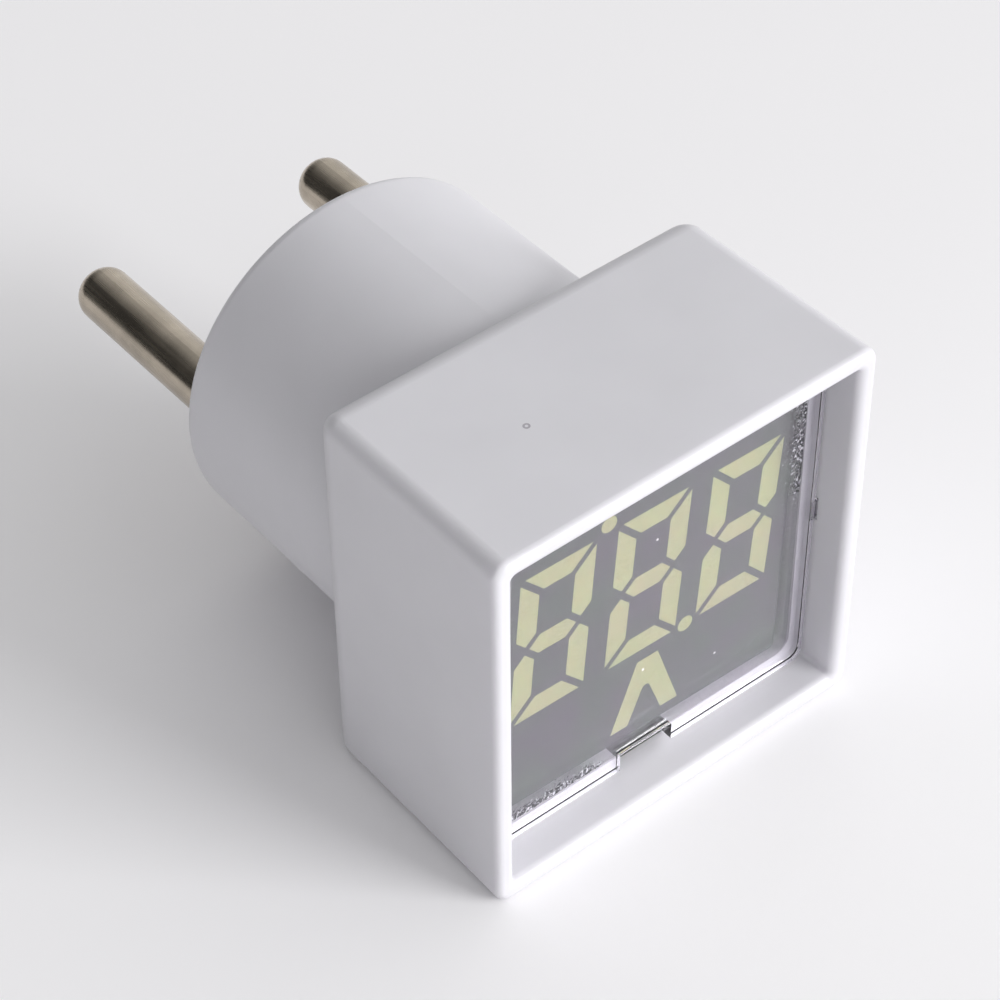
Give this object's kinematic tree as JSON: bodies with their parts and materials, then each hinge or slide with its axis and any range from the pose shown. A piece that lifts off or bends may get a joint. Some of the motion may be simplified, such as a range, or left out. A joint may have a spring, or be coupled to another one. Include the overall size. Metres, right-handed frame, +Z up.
{
  "type": "outlet tester plug",
  "caption": "Plug-in mains voltage tester: square head with a figure display behind a recessed clear window, round plug body and round contact pins.",
  "frame": {"origin": "middle of the face that meets the socket, half way between the two contact pins", "axes": "+Y is the way the pins go into the socket, +Z is up as the display is read, +X is to the right of the person who reads the display"},
  "size_m": [0.0302, 0.0511, 0.0302],
  "materials": {
    "board_laminate": "glass-fibre laminate with green mask",
    "can_sleeve": "can in a black sleeve",
    "cast_resin": "milky yellow-green cast resin",
    "chip_ceramic": "black glazed film on ceramic",
    "chip_tan": "tan ceramic",
    "clear_plastic": "clear moulded window, polished",
    "film_case": "yellow moulded box",
    "grey_case": "printed matt grey face",
    "light_chip": "bare light chips",
    "nickelled_brass": "turned brass, nickel plated",
    "package_plastic": "black moulding compound",
    "resistor_coat": "green flameproof coat",
    "solder": "bright solder",
    "tinned_brass": "tinned",
    "tinted_film": "grey-tinted self-adhesive film",
    "varistor_coat": "blue dipped coat",
    "white_plastic": "smooth moulded, satin gloss",
    "wire_blue": "blue insulation",
    "wire_brown": "brown insulation"
  },
  "bodies": {
    "root": {"housing": "white_plastic", "window": "clear_plastic", "filter_film": "tinted_film", "display_case": "grey_case", "display_resin": "cast_resin", "led_chips": "light_chip", "display_board": "board_laminate", "display_pins": "tinned_brass", "main_board": "board_laminate", "dropper_capacitor": "film_case", "smoothing_capacitor": "can_sleeve", "varistor": "varistor_coat", "surge_resistor": "resistor_coat", "divider_resistors": "chip_ceramic", "discharge_resistors": "chip_ceramic", "chip_capacitors": "chip_tan", "zener_diode": "package_plastic", "microcontroller": "package_plastic", "rectifier_bridge": "package_plastic", "voltage_regulator": "package_plastic", "neutral_wire": "wire_blue", "live_wire": "wire_brown", "solder_joints": "solder", "pin_left": "nickelled_brass", "pin_right": "nickelled_brass"}
  },
  "joints": []
}
